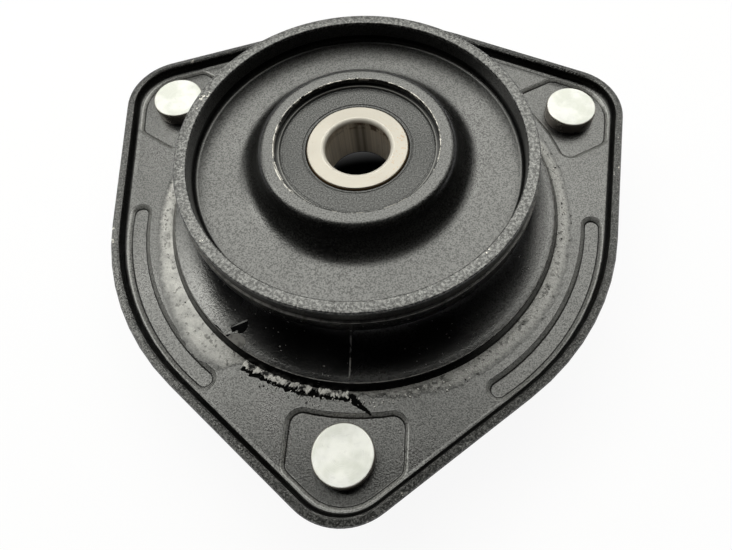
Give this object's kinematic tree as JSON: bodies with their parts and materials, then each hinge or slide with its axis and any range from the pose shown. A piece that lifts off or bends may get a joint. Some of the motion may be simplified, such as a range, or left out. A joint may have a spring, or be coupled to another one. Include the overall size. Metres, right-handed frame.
{
  "type": "strut mount",
  "caption": "Suspension strut mount: studded lobed steel plate, bonded rubber cone, and a pressed dish with a raised cup around a sealed ball bearing that takes the strut rod.",
  "frame": {"origin": "on the bearing axis, in the plane where the stud pads meet the tower", "axes": "+Z along the bearing axis towards the strut, -Y towards the stud nearest the viewer"},
  "size_m": [0.1596, 0.1632, 0.0544],
  "materials": {
    "plate_paint": "fine textured black paint",
    "dish_paint": "fine textured black paint, worn at the rim",
    "retainer_paint": "fine textured black paint",
    "stud_zinc": "bright zinc plate",
    "insulator_rubber": "semi-gloss moulded black rubber",
    "bearing_steel": "ground bearing steel",
    "seal_rubber": "matt black seal",
    "cage_steel": "pressed steel"
  },
  "bodies": {
    "mount": {"mounting_plate": "plate_paint", "mount_studs": "stud_zinc", "rubber_insulator": "insulator_rubber", "dish_seat": "dish_paint", "bearing_retainer": "retainer_paint", "outer_ring": "bearing_steel", "upper_seal": "seal_rubber", "lower_seal": "seal_rubber"},
    "rod_ring": {"inner_ring": "bearing_steel"},
    "ball_set": {"cage_upper": "cage_steel", "cage_lower": "cage_steel", "cage_rivets": "cage_steel", "ball_1": "bearing_steel", "ball_2": "bearing_steel", "ball_3": "bearing_steel", "ball_4": "bearing_steel", "ball_5": "bearing_steel", "ball_6": "bearing_steel", "ball_7": "bearing_steel"}
  },
  "joints": [
    {"name": "inner_ring_spin", "type": "hinge", "parent": "mount", "child": "rod_ring", "pos_m": [0, 0, 0.0235], "axis": [0, 0, 1], "continuous": true},
    {"name": "cage_orbit", "type": "hinge", "parent": "mount", "child": "ball_set", "pos_m": [0, 0, 0.0235], "axis": [0, 0, 1], "continuous": true}
  ],
  "couplings": [
    {"joint": "cage_orbit", "follows": "inner_ring_spin", "ratio": 0.36359}
  ]
}
